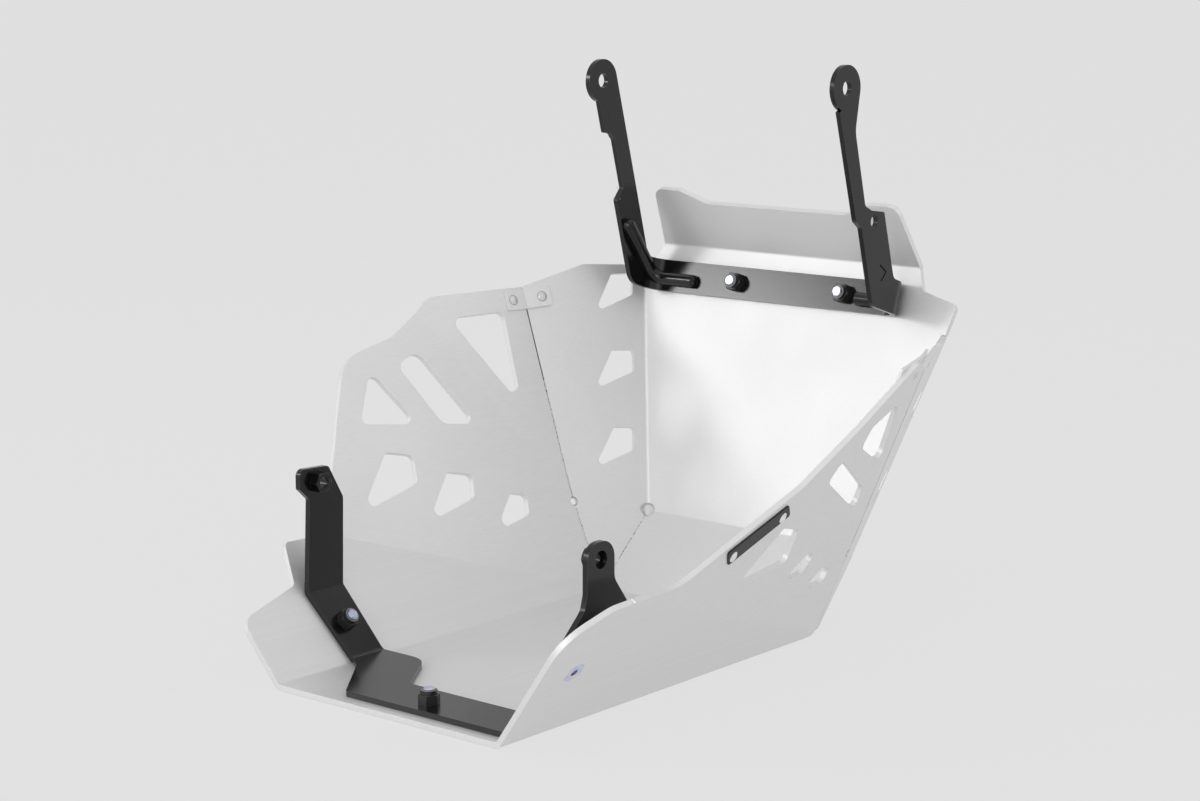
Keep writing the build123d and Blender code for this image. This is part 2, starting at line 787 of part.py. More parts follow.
def countersink(place):
    """Clearance hole with a cone that opens at the outer face of the sheet."""
    hole = SCREW_RADIUS + SCREW_PLAY
    cone = Pos(0, 0, -SHEET) * Cone(HEAD_RADIUS, hole, HEAD_RADIUS - hole, align=LOW)
    return (place * cone).fuse(screw_hole(place))


def screw(place):
    """Countersunk screw, flush outside, long enough to pass the nut."""
    length = SHEET + BRACKET + NUT_HEIGHT + COLLAR_HEIGHT + SCREW_END
    head = Cone(HEAD_RADIUS, SCREW_RADIUS, HEAD_RADIUS - SCREW_RADIUS, align=LOW)
    shank = Cylinder(SCREW_RADIUS, length, align=LOW)
    shank = shank.chamfer(END_CHAMFER, None, shank.edges().sort_by(Axis.Z)[-1:])
    socket = extrude(RegularPolygon(SOCKET / 2, 6, major_radius=False), amount=SOCKET_DEPTH)
    return place * Pos(0, 0, -SHEET) * (head + shank - socket)


def hexagon(width, height):
    """Hexagonal prism with the corners of its upper face turned off."""
    prism = extrude(RegularPolygon(width / 2, 6, major_radius=False), amount=height)
    corner = width / math.sqrt(3)
    rise = (corner - width / 2) * math.tan(rad(30))
    core = Cylinder(corner, height - rise, align=LOW)
    upper = Pos(0, 0, height - rise) * Cone(corner, width / 2, rise, align=LOW)
    return prism & (core + upper)


def nut(place):
    """Hexagon nut with a round locking collar."""
    body = hexagon(NUT_WIDTH, NUT_HEIGHT)
    collar = Pos(0, 0, NUT_HEIGHT) * Cylinder(COLLAR_RADIUS, COLLAR_HEIGHT, align=LOW)
    bore = Cylinder(SCREW_RADIUS, 4 * NUT_HEIGHT)
    return place * Pos(0, 0, BRACKET) * (body + collar - bore)


def weld_nut(place):
    bore = Cylinder(SCREW_RADIUS, 4 * WELD_NUT_HEIGHT)
    return place * (hexagon(NUT_WIDTH, WELD_NUT_HEIGHT) - bore)


def dome(radius, height):
    """Spherical cap, flat side on the plane."""
    big = (radius * radius + height * height) / (2 * height)
    half = math.asin(radius / big) / 2
    middle = Vector(big * math.sin(half), 0, height - big + big * math.cos(half))
    edges = [
        Edge.make_line((0, 0, 0), (radius, 0, 0)),
        Edge.make_three_point_arc((radius, 0, 0), middle, (0, 0, height)),
        Edge.make_line((0, 0, height), (0, 0, 0)),
    ]
    return revolve(Face(Wire(edges)), Axis.Z, 360)


def rivet(place, low, high, head_up):
    """Shank between two faces with a wide dome on one side and a small one on the other."""
    shank = Pos(0, 0, low) * Cylinder(RIVET_RADIUS, high - low, align=LOW)
    wide = dome(RIVET_HEAD, RIVET_DOME)
    small = dome(RIVET_HEAD * SMALL_HEAD, RIVET_DOME * SMALL_HEAD)
    upper, lower = (wide, small) if head_up else (small, wide)
    flipped = Pos(0, 0, low) * Rot(180, 0, 0) * lower
    return place * (shank + flipped + Pos(0, 0, high) * upper)


def rivet_hole(place):
    return place * Cylinder(RIVET_RADIUS, 4 * SHEET)


# joining plates: place of the top along the slit, reach and slope of the rear wing
LEFT_JOIN = (LEFT_SLIT_REACH - LEFT_JOIN_DROP, LEFT_JOIN_REAR, 0.0)
RIGHT_JOIN = (RIGHT_SLIT_REACH + RIGHT_JOIN_RISE, RIGHT_JOIN_REAR, RIGHT_JOIN_SLOPE)


def away_from_slit(frame):
    """Direction on a panel beside the slit, square to it and rearward."""
    way = frame.z_dir.cross(slit).normalized()
    return way * -math.copysign(1, way.Y)


def joining_plate(place):
    """Thin bent plate that bridges the open slit on the inner face."""
    top, rear_reach, slope = place
    rear = shoulder.offset(JOIN_PLATE)
    front_part = cheek.offset(JOIN_PLATE)
    half = math.acos(shoulder.z_dir.dot(cheek.z_dir)) / 2
    shift = (shoulder.z_dir + cheek.z_dir).normalized() * (JOIN_PLATE / math.cos(half))
    low_point = knuckle + slit * (top - JOIN_HIGH) + shift
    high_point = knuckle + slit * top + shift
    inset = setback(shoulder, cheek, JOIN_BEND)
    pieces = []
    for frame, reach, fall in ((rear, rear_reach, slope * rear_reach), (front_part, -JOIN_FRONT, 0)):
        step = away_from_slit(frame) * reach - slit * fall
        border = [
            (*flat(frame, low_point), 0),
            (*flat(frame, low_point + step), 2),
            (*flat(frame, high_point + step), 2),
            (*flat(frame, high_point), 0, inset),
        ]
        pieces.append(panel(frame, border, JOIN_PLATE))
    pieces.append(fold(low_point, high_point, rear, front_part, JOIN_BEND, JOIN_PLATE))
    return join(pieces).cut(*[rivet_hole(hole) for hole in join_spots(place)])


def join_spots(place):
    """Rivet places of a joining plate, rear one first."""
    top, _, slope = place
    middle = knuckle + slit * (top - JOIN_HIGH / 2)
    rear = middle + (away_from_slit(shoulder) - slit * slope) * JOIN_RIVET_REAR
    front_part = middle - away_from_slit(cheek) * JOIN_RIVET_FRONT
    return [spot(shoulder, *flat(shoulder, rear)), spot(cheek, *flat(cheek, front_part))]


# bare plate on the outside of the right wall: corners with their radius, rivets
NAME_CORNERS = [(195.6, 105.8, 2), (203.1, 116.7, 2), (139.9, 139.2, 2), (131.6, 129.7, 2)]
NAME_RIVETS = [(193.0, 111.8), (141.6, 130.0)]


def name_plate():
    blank = panel(side.offset(-SHEET), NAME_CORNERS, NAME_PLATE)
    return blank.cut(*[rivet_hole(spot(side, *place)) for place in NAME_RIVETS])


def screw_places():
    return {
        "upper_left": spot(front, -UPPER_SCREW_X, bar_middle),
        "upper_right": spot(front, UPPER_SCREW_X, bar_middle),
        "bottom": spot(floor_frame, *BOTTOM_SCREW),
        "right_chamfer": spot(chamfer, *RIGHT_SCREW),
    }


def fasteners():
    """Screws with their nuts, and the weld nuts of the two ears."""
    nodes = {}
    for name, place in screw_places().items():
        nodes[name + "_screw"] = screw(place)
        nodes[name + "_nut"] = nut(place)
    left_place = spot(chamfer, *LEFT_SCREW)
    nodes["left_chamfer_screw"] = mirrored(screw(left_place))
    nodes["left_chamfer_nut"] = mirrored(nut(left_place))
    nodes["left_weld_nut"] = mirrored(weld_nut(spot(ear_frame(LEFT_FOLD_UP), *LEFT_THREAD)))
    nodes["right_weld_nut"] = weld_nut(spot(ear_frame(RIGHT_FOLD_UP), *RIGHT_THREAD))
    return nodes


def rivets():
    nodes = {}
    for end, left, right, name in zip(
        ("rear", "front"), join_spots(LEFT_JOIN), join_spots(RIGHT_JOIN), NAME_RIVETS
    ):
        nodes["left_" + end + "_rivet"] = mirrored(rivet(left, -SHEET, JOIN_PLATE, True))
        nodes["right_" + end + "_rivet"] = rivet(right, -SHEET, JOIN_PLATE, True)
        plate_face = -SHEET - NAME_PLATE
        nodes["name_plate_" + end + "_rivet"] = rivet(spot(side, *name), plate_face, 0, False)
    return nodes


def all_nodes():
    nodes = {
        "skid_plate": skid_plate(),
        "upper_bracket": upper_bracket(),
        "lower_bracket": lower_bracket(),
        "left_joining_plate": mirrored(joining_plate(LEFT_JOIN)),
        "right_joining_plate": joining_plate(RIGHT_JOIN),
        "name_plate": name_plate(),
    }
    return nodes | fasteners() | rivets()


for name, shape in all_nodes().items():
    export_step(shape, "parts/" + name + ".step")
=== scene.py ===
import bpy
import json
import math
import random
from mathutils import Matrix, Vector


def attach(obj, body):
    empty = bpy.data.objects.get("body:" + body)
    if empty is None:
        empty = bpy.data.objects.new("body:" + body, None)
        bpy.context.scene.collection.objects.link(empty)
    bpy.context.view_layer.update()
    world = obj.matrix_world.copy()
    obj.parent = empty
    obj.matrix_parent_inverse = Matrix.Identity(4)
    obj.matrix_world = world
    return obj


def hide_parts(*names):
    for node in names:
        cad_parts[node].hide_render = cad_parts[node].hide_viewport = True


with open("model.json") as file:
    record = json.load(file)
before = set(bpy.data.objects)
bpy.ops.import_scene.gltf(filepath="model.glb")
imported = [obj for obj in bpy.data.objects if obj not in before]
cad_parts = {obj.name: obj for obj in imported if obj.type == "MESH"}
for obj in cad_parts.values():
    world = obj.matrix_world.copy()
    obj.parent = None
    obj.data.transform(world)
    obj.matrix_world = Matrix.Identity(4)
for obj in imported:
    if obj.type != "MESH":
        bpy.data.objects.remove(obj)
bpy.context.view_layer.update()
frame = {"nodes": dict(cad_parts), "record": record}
print("frame loaded,", len(frame["nodes"]), "nodes")

mm = 0.001

studio = {
    "backdrop": 0.775,          # linear grey of floor and backdrop, as the camera and polished metal see them
    "worldLight": 0.69,         # strength of the even light from all round
    "floorShare": 0.10,         # how much of the floor's own shading shows beside the even grey
    "floorRadius": 40.0,
    "floorSides": 64,
    "floorGap": 0.4,            # mm below the tray, so that the two faces don't flicker
}

cameraView = {
    "azimuth": 39.742,          # degrees, from behind the tray towards its near side
    "elevation": 10.244,
    "place": (1.11715, -1.29396, 0.49423),
    "lens": 76.22,
    "sensor": 36.0,
}

lamps = [
    {
        "name": "keyLamp",
        "place": (-1.60, -1.62, 1.03),
        "aim": (0.0, 0.22, 0.24),
        "size": (0.42, 0.36),
        "power": 7.4,
    },
    {
        "name": "softboxLeft",
        "place": (-1.70, -2.00, 0.62),
        "aim": (0.0, 0.22, 0.14),
        "size": (1.7, 1.0),
        "power": 2.0,
    },
    {
        "name": "softboxFront",
        "place": (0.50, -3.40, 0.95),
        "aim": (0.0, 0.1, 0.20),
        "size": (2.0, 1.3),
        "power": 29.0,
    },
    {
        "name": "softboxTop",
        "place": (0.2, 0.3, 2.6),
        "aim": (0.0, 0.0, 0.0),
        "size": (2.4, 2.4),
        "power": 4.0,
    },
    {
        "name": "softboxRight",
        "place": (2.3, 0.9, 1.3),
        "aim": (0.0, 0.0, 0.1),
        "size": (1.6, 1.4),
        "power": 6.0,
    },
]


def newMaterial(name):
    material = bpy.data.materials.new(name)
    material.use_nodes = True
    return material, material.node_tree.nodes, material.node_tree.links


def addLamp(setup):
    data = bpy.data.lights.new(setup["name"], "AREA")
    data.shape = "RECTANGLE"
    data.size, data.size_y = setup["size"]
    data.energy = setup["power"]
    lamp = bpy.data.objects.new(setup["name"], data)
    bpy.context.collection.objects.link(lamp)
    lamp.location = setup["place"]
    way = Vector(setup["aim"]) - Vector(setup["place"])
    lamp.rotation_euler = way.to_track_quat("-Z", "Y").to_euler()


def addCamera(view):
    data = bpy.data.cameras.new("photoView")
    data.lens = view["lens"]
    data.sensor_width = view["sensor"]
    camera = bpy.data.objects.new("photoView", data)
    bpy.context.collection.objects.link(camera)
    azimuth = math.radians(view["azimuth"])
    tilt = math.radians(90 - view["elevation"])
    camera.location = view["place"]
    camera.rotation_euler = (tilt, 0, azimuth)
    bpy.context.scene.camera = camera


def seenDirectly(nodes, links):
    path = nodes.new("ShaderNodeLightPath")
    first = nodes.new("ShaderNodeMath")
    first.operation = "MAXIMUM"
    links.new(path.outputs["Is Camera Ray"], first.inputs[0])
    links.new(path.outputs["Is Glossy Ray"], first.inputs[1])
    second = nodes.new("ShaderNodeMath")
    second.operation = "MAXIMUM"
    links.new(first.outputs[0], second.inputs[0])
    links.new(path.outputs["Is Transmission Ray"], second.inputs[1])
    return second.outputs[0]


def makeWorld():
    world = bpy.data.worlds.new("studio")
    bpy.context.scene.world = world
    world.use_nodes = True
    nodes, links = world.node_tree.nodes, world.node_tree.links
    nodes.clear()
    even = nodes.new("ShaderNodeBackground")
    even.inputs["Strength"].default_value = studio["worldLight"]
    seen = nodes.new("ShaderNodeBackground")
    seen.inputs["Color"].default_value = (studio["backdrop"],) * 3 + (1,)
    mix = nodes.new("ShaderNodeMixShader")
    output = nodes.new("ShaderNodeOutputWorld")
    links.new(seenDirectly(nodes, links), mix.inputs["Fac"])
    links.new(even.outputs[0], mix.inputs[1])
    links.new(seen.outputs[0], mix.inputs[2])
    links.new(mix.outputs[0], output.inputs["Surface"])


def makeFloor():
    bpy.ops.object.select_all(action="DESELECT")
    bpy.ops.mesh.primitive_circle_add(
        vertices=studio["floorSides"],
        radius=studio["floorRadius"],
        fill_type="NGON",
        location=(0, 0, -studio["floorGap"] * mm),
    )
    floor = bpy.context.object
    floor.name = "paleFloor"
    material, nodes, links = newMaterial("palePaper")
    nodes.clear()
    paper = nodes.new("ShaderNodeBsdfDiffuse")
    paper.inputs["Color"].default_value = (studio["backdrop"],) * 3 + (1,)
    glow = nodes.new("ShaderNodeEmission")
    glow.inputs["Color"].default_value = (studio["backdrop"],) * 3 + (1,)
    share = nodes.new("ShaderNodeMath")
    share.operation = "MULTIPLY"
    share.inputs[1].default_value = 1 - studio["floorShare"]
    links.new(seenDirectly(nodes, links), share.inputs[0])
    mix = nodes.new("ShaderNodeMixShader")
    output = nodes.new("ShaderNodeOutputMaterial")
    links.new(share.outputs[0], mix.inputs["Fac"])
    links.new(paper.outputs[0], mix.inputs[1])
    links.new(glow.outputs[0], mix.inputs[2])
    clear = nodes.new("ShaderNodeBsdfTransparent")   # seen from below, the floor isn't there
    shape = nodes.new("ShaderNodeNewGeometry")
    under = nodes.new("ShaderNodeMixShader")
    links.new(shape.outputs["Backfacing"], under.inputs["Fac"])
    links.new(mix.outputs[0], under.inputs[1])
    links.new(clear.outputs[0], under.inputs[2])
    links.new(under.outputs[0], output.inputs["Surface"])
    floor.data.materials.append(material)


addCamera(cameraView)
for setup in lamps:
    addLamp(setup)
makeWorld()
makeFloor()
bpy.context.scene.view_settings.view_transform = "Standard"
print("stage ready")


# grain of brushed sheet: fine streaks along the tray, and cloudy patches that are a little rougher

grainInputs = {
    "Along": 3.0,               # scale of the noise per metre: low along the tray, high across it
    "Across": 900.0,
    "Cloud Size": 9.0,
}
grainDetail = {
    "streaks": 3.0,
    "clouds": 4.0,
}
edgeInputs = {
    "Radius": 0.0006,           # metres over which an edge is softened
    "Start": 0.06,              # 1 minus the cosine of the edge's turn, where the painted highlight and wear begin
    "Stop": 0.20,               # and where it is full
}
edgeSamples = 4
noiseSpan = (0.35, 0.65)        # values of a noise that are taken as its lowest and highest


def addFloatInputs(group, values):
    for name, value in values.items():
        socket = group.interface.new_socket(name=name, in_out="INPUT", socket_type="NodeSocketFloat")
        socket.default_value = value


def makeGrainGroup():
    group = bpy.data.node_groups.new("sheetGrain", "ShaderNodeTree")
    addFloatInputs(group, grainInputs)
    group.interface.new_socket(name="Vector", in_out="INPUT", socket_type="NodeSocketVector")
    group.interface.new_socket(name="Streaks", in_out="OUTPUT", socket_type="NodeSocketFloat")
    group.interface.new_socket(name="Clouds", in_out="OUTPUT", socket_type="NodeSocketFloat")
    nodes, links = group.nodes, group.links
    given = nodes.new("NodeGroupInput")
    result = nodes.new("NodeGroupOutput")
    scale = nodes.new("ShaderNodeCombineXYZ")
    links.new(given.outputs["Across"], scale.inputs["X"])
    links.new(given.outputs["Along"], scale.inputs["Y"])
    links.new(given.outputs["Across"], scale.inputs["Z"])
    stretched = nodes.new("ShaderNodeVectorMath")
    stretched.operation = "MULTIPLY"
    links.new(given.outputs["Vector"], stretched.inputs[0])
    links.new(scale.outputs[0], stretched.inputs[1])
    streaks = nodes.new("ShaderNodeTexNoise")
    streaks.inputs["Scale"].default_value = 1.0
    streaks.inputs["Detail"].default_value = grainDetail["streaks"]
    links.new(stretched.outputs[0], streaks.inputs["Vector"])
    clouds = nodes.new("ShaderNodeTexNoise")
    clouds.inputs["Detail"].default_value = grainDetail["clouds"]
    links.new(given.outputs["Cloud Size"], clouds.inputs["Scale"])
    links.new(given.outputs["Vector"], clouds.inputs["Vector"])
    links.new(streaks.outputs["Fac"], result.inputs["Streaks"])
    links.new(clouds.outputs["Fac"], result.inputs["Clouds"])
    return group


def mapRange(nodes, links, source, low, high):
    node = nodes.new("ShaderNodeMapRange")
    node.inputs["From Min"].default_value = noiseSpan[0]
    node.inputs["From Max"].default_value = noiseSpan[1]
    node.inputs["To Min"].default_value = low
    node.inputs["To Max"].default_value = high
    links.new(source, node.inputs["Value"])
    return node.outputs["Result"]


# edge mask and rounded normal; the mask lightens the colour along edges as painted highlight, with some wear
def makeEdgeGroup():
    group = bpy.data.node_groups.new("edgeHighlightAndWear", "ShaderNodeTree")
    addFloatInputs(group, edgeInputs)
    group.interface.new_socket(name="Mask", in_out="OUTPUT", socket_type="NodeSocketFloat")
    group.interface.new_socket(name="Normal", in_out="OUTPUT", socket_type="NodeSocketVector")
    nodes, links = group.nodes, group.links
    given = nodes.new("NodeGroupInput")
    result = nodes.new("NodeGroupOutput")
    rounded = nodes.new("ShaderNodeBevel")
    rounded.samples = edgeSamples
    links.new(given.outputs["Radius"], rounded.inputs["Radius"])
    shape = nodes.new("ShaderNodeNewGeometry")
    both = nodes.new("ShaderNodeVectorMath")
    both.operation = "DOT_PRODUCT"
    links.new(rounded.outputs["Normal"], both.inputs[0])
    links.new(shape.outputs["Normal"], both.inputs[1])
    turn = nodes.new("ShaderNodeMath")
    turn.operation = "SUBTRACT"
    turn.inputs[0].default_value = 1.0
    links.new(both.outputs["Value"], turn.inputs[1])
    mask = nodes.new("ShaderNodeMapRange")
    links.new(turn.outputs[0], mask.inputs["Value"])
    links.new(given.outputs["Start"], mask.inputs["From Min"])
    links.new(given.outputs["Stop"], mask.inputs["From Max"])
    links.new(mask.outputs["Result"], result.inputs["Mask"])
    links.new(rounded.outputs["Normal"], result.inputs["Normal"])
    return group


def blendValue(nodes, links, mask, low, high):
    node = nodes.new("ShaderNodeMix")
    links.new(mask, node.inputs["Factor"])
    for socket, value in ((node.inputs["A"], low), (node.inputs["B"], high)):
        if isinstance(value, float):
            socket.default_value = value
        else:
            links.new(value, socket)
    return node.outputs["Result"]


def grey(nodes, links, value):
    color = nodes.new("ShaderNodeCombineColor")
    for channel in ("Red", "Green", "Blue"):
        links.new(value, color.inputs[channel])
    return color.outputs[0]


sheetGrain = makeGrainGroup()
edgeHighlightAndWear = makeEdgeGroup()

brushedSheet = {
    "lightest": 0.813,
    "darkest": 0.790,
    "edge": 0.86,               # tone of the edges, brighter: painted highlight along them, and rubbed metal
    "roughest": 0.56,
    "smoothest": 0.50,
    "metal": 0.65,
    "streakStrength": 0.25,
    "streakDepth": 0.003,       # mm
}


def makeSheetMaterial():
    material, nodes, links = newMaterial("brushedSheet")
    shader = nodes["Principled BSDF"]
    shader.inputs["Metallic"].default_value = brushedSheet["metal"]
    place = nodes.new("ShaderNodeTexCoord")
    grain = nodes.new("ShaderNodeGroup")
    grain.node_tree = sheetGrain
    links.new(place.outputs["Object"], grain.inputs["Vector"])
    darkest, lightest = brushedSheet["darkest"], brushedSheet["lightest"]
    tone = mapRange(nodes, links, grain.outputs["Streaks"], darkest, lightest)
    highlightAndWear = nodes.new("ShaderNodeGroup")
    highlightAndWear.node_tree = edgeHighlightAndWear
    # edges lighter: painted highlight, and rubbed metal
    tone = blendValue(nodes, links, highlightAndWear.outputs["Mask"], tone, brushedSheet["edge"])
    links.new(grey(nodes, links, tone), shader.inputs["Base Color"])
    smoothest, roughest = brushedSheet["smoothest"], brushedSheet["roughest"]
    rough = mapRange(nodes, links, grain.outputs["Clouds"], smoothest, roughest)
    links.new(rough, shader.inputs["Roughness"])
    bump = nodes.new("ShaderNodeBump")
    bump.inputs["Strength"].default_value = brushedSheet["streakStrength"]
    bump.inputs["Distance"].default_value = brushedSheet["streakDepth"] * mm
    links.new(grain.outputs["Streaks"], bump.inputs["Height"])
    links.new(highlightAndWear.outputs["Normal"], bump.inputs["Normal"])
    links.new(bump.outputs["Normal"], shader.inputs["Normal"])
    return material


powderCoat = {
    "color": 0.004,
    "roughness": 0.20,
    "shine": 0.45,
    "edge": 0.055,              # tone along the edges, lighter: painted highlight, and thinner coat
    "peelSize": 900.0,
    "peelStrength": 0.3,
    "peelDepth": 0.012,         # mm
}


def makeCoatMaterial():
    material, nodes, links = newMaterial("powderCoat")
    shader = nodes["Principled BSDF"]
    highlightAndWear = nodes.new("ShaderNodeGroup")
    highlightAndWear.node_tree = edgeHighlightAndWear
    # edges lighter: painted highlight, and thinner coat
    tone = blendValue(nodes, links, highlightAndWear.outputs["Mask"], powderCoat["color"], powderCoat["edge"])
    links.new(grey(nodes, links, tone), shader.inputs["Base Color"])
    shader.inputs["Roughness"].default_value = powderCoat["roughness"]
    shader.inputs["Specular IOR Level"].default_value = powderCoat["shine"]
    place = nodes.new("ShaderNodeTexCoord")
    peel = nodes.new("ShaderNodeTexNoise")
    peel.inputs["Scale"].default_value = powderCoat["peelSize"]
    links.new(place.outputs["Object"], peel.inputs["Vector"])
    bump = nodes.new("ShaderNodeBump")
    bump.inputs["Strength"].default_value = powderCoat["peelStrength"]
    bump.inputs["Distance"].default_value = powderCoat["peelDepth"] * mm
    links.new(peel.outputs["Fac"], bump.inputs["Height"])
    links.new(bump.outputs["Normal"], shader.inputs["Normal"])
    return material


plainMetal = {
    "cloudScale": 350.0,
    "cloudShade": 0.85,         # share of the colour that the clouds keep, where no second one is given
}


def makePlainMetal(name, color, roughness, metallic, second=None, scale=plainMetal["cloudScale"], shine=None):
    material, nodes, links = newMaterial(name)
    shader = nodes["Principled BSDF"]
    shader.inputs["Metallic"].default_value = metallic
    shader.inputs["Roughness"].default_value = roughness
    if shine is not None:
        shader.inputs["Specular IOR Level"].default_value = shine
    place = nodes.new("ShaderNodeTexCoord")
    cloud = nodes.new("ShaderNodeTexNoise")
    cloud.inputs["Scale"].default_value = scale
    links.new(place.outputs["Object"], cloud.inputs["Vector"])
    ramp = nodes.new("ShaderNodeMix")
    ramp.data_type = "RGBA"
    links.new(mapRange(nodes, links, cloud.outputs["Fac"], 0.0, 1.0), ramp.inputs["Factor"])
    shaded = tuple(channel * plainMetal["cloudShade"] for channel in color)
    ramp.inputs["A"].default_value = (second or shaded) + (1,)
    ramp.inputs["B"].default_value = color + (1,)
    links.new(ramp.outputs["Result"], shader.inputs["Base Color"])
    return material


sheetMetal = makeSheetMaterial()
finishes = {
    "sheet": sheetMetal,
    "joining_plate": sheetMetal,
    "bracket": makeCoatMaterial(),
    "zinc": makePlainMetal(
        "zincPlate", (0.42, 0.54, 0.74), roughness=0.28, metallic=1.0, second=(0.74, 0.64, 0.72), scale=260.0
    ),
    "nut": makePlainMetal("blackNut", (0.02, 0.02, 0.022), roughness=0.30, metallic=0.0),
    "rivet": makePlainMetal("brightRivet", (0.90, 0.90, 0.91), roughness=0.25, metallic=1.0),
    "name_plate": makePlainMetal(
        "darkPlate", (0.008, 0.008, 0.009), roughness=0.22, metallic=0.0, shine=0.15
    ),
}

for part in frame["record"]["subparts"]:
    node = frame["nodes"][part["node"]]
    node.data.materials.clear()
    node.data.materials.append(finishes[part["material_slot"]])
flushRivetMetal = makePlainMetal("flushRivetMetal", (0.78, 0.78, 0.78), roughness=0.48, metallic=0.7)
for name in ("left_rear_rivet", "left_front_rivet", "right_rear_rivet", "right_front_rivet"):
    frame["nodes"][name].data.materials[0] = flushRivetMetal
print("finishes on")


# broken edges: each plate is copied with its shape kept and its sharp edges taken off

edgeBreak = {
    "upper_bracket": 0.45,      # mm taken off each sharp edge
    "lower_bracket": 0.45,
    "left_joining_plate": 0.25,
    "right_joining_plate": 0.25,
    "name_plate": 0.15,
}
edgeTools = {
    "mergeWithin": 0.002,       # mm
    "flatWithin": 0.3,          # degrees, and so are the next two
    "sharpOver": 50,
    "smoothUnder": 30,
    "segments": 2,
    "normalWeight": 100,
}


def selectOnly(piece):
    bpy.ops.object.select_all(action="DESELECT")
    piece.select_set(True)
    bpy.context.view_layer.objects.active = piece


def breakEdges(name, width):
    node = frame["nodes"][name]
    piece = bpy.data.objects.new(name + "_finished", node.data.copy())
    bpy.context.collection.objects.link(piece)
    selectOnly(piece)
    bpy.ops.object.mode_set(mode="EDIT")
    bpy.ops.mesh.select_all(action="SELECT")
    bpy.ops.mesh.remove_doubles(threshold=edgeTools["mergeWithin"] * mm)
    bpy.ops.mesh.dissolve_limited(angle_limit=math.radians(edgeTools["flatWithin"]))
    bpy.ops.object.mode_set(mode="OBJECT")
    bevel = piece.modifiers.new("brokenEdge", "BEVEL")
    bevel.width = width * mm
    bevel.segments = edgeTools["segments"]
    bevel.limit_method = "ANGLE"
    bevel.angle_limit = math.radians(edgeTools["sharpOver"])
    bevel.use_clamp_overlap = True
    bpy.ops.object.modifier_apply(modifier=bevel.name)
    bpy.ops.object.shade_smooth_by_angle(angle=math.radians(edgeTools["smoothUnder"]))
    even = piece.modifiers.new("evenShading", "WEIGHTED_NORMAL")
    even.keep_sharp = True
    even.weight = edgeTools["normalWeight"]
    bpy.ops.object.modifier_apply(modifier=even.name)
    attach(piece, "root")
    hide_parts(name)


for name, width in edgeBreak.items():
    breakEdges(name, width)
print("edges broken")


# corners of the sheet's inner faces on the right side, in mm, and the ways that its panels face there;
# placed mirrors them for the left side
cornerFloor = Vector((98.0, 169.3, 4.0))
knuckle = Vector((128.8, 169.1, 75.6))
cornerNose = Vector((95.1, 223.18, 56.03))
slitWay = Vector((0.36489, 0.07103, 0.92834))
sideFacing = Vector((-0.91405, -0.10070, 0.39291))
cheekFacing = Vector((-0.84428, -0.39510, 0.36208))
noseFacing = Vector((0.0, -0.69466, 0.71934))
shoulderFacing = Vector((-0.91833, -0.13681, 0.37142))
frontFacing = Vector((0, -0.95266, 0.30403))
chamferFacing = Vector((-0.79229, 0, 0.610145))
bothSides = ((-1, "left"), (1, "right"))


def placed(start, along, facing, side, turn):
    flip = Vector((side, 1, 1))
    xWay = (along * flip).normalized()
    zWay = (facing * flip).normalized()
    yWay = zWay.cross(xWay).normalized()
    zWay = xWay.cross(yWay)
    turned = Matrix((xWay, yWay, zWay)).transposed().to_4x4() @ Matrix.Rotation(turn, 4, "Z")
    return Matrix.Translation(start * flip * mm) @ turned


def settle(piece):
    selectOnly(piece)
    bpy.ops.object.transform_apply(location=True, rotation=True, scale=True)
    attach(piece, "root")


def joinPieces(pieces, name):
    selectOnly(pieces[0])
    for piece in pieces:
        piece.select_set(True)
    bpy.ops.object.transform_apply(location=True, rotation=True, scale=True)
    bpy.ops.object.join()
    pieces[0].name = name
    return pieces[0]


# weld dabs along the inner corners, with small dark spots between them, painted shade in the seam

weldRun = {
    "step": 3.1,                # mm from one dab to the next
    "dab": (1.5, 0.75, 0.45),   # half length, half width and height above the corner
    "shadeSpot": (1.0, 0.42, 0.40),
    "wander": 1.1,              # mm that one may lie off its step
    "turn": 0.3,                # radians for each mm of wander
    "missing": 0.12,            # share of the steps that stay bare
    "stretch": (0.5, 1.5),      # least and most that one grows in length, and below in width
    "widen": (0.6, 1.2),
    "sideSpan": (0.18, 0.90),   # shares of the way from the knuckle to the floor's corner
    "noseSpan": (0.10, 0.90),   # and from the nose's corner to it
    "slitSpan": (20, 92),       # mm up the slit from the knuckle
    "seed": 5,
}
dabShape = {
    "segments": 10,
    "rings": 6,
}

seams = [
    {
        "start": knuckle.lerp(cornerFloor, weldRun["sideSpan"][0]),
        "stop": knuckle.lerp(cornerFloor, weldRun["sideSpan"][1]),
        "facing": sideFacing + cheekFacing,
    },
    {
        "start": cornerNose.lerp(cornerFloor, weldRun["noseSpan"][0]),
        "stop": cornerNose.lerp(cornerFloor, weldRun["noseSpan"][1]),
        "facing": noseFacing + cheekFacing,
    },
    {
        "start": knuckle + slitWay * weldRun["slitSpan"][0],
        "stop": knuckle + slitWay * weldRun["slitSpan"][1],
        "facing": shoulderFacing + cheekFacing,
    },
]


def makeDab(size, material):
    bpy.ops.object.select_all(action="DESELECT")
    bpy.ops.mesh.primitive_uv_sphere_add(
        segments=dabShape["segments"], ring_count=dabShape["rings"], radius=mm, location=(0, 0, 0)
    )
    dab = bpy.context.object
    bpy.ops.object.mode_set(mode="EDIT")
    bpy.ops.mesh.select_all(action="SELECT")
    bpy.ops.transform.resize(value=size)
    bpy.ops.object.mode_set(mode="OBJECT")
    bpy.ops.object.shade_smooth()
    dab.data.materials.append(material)
    return dab


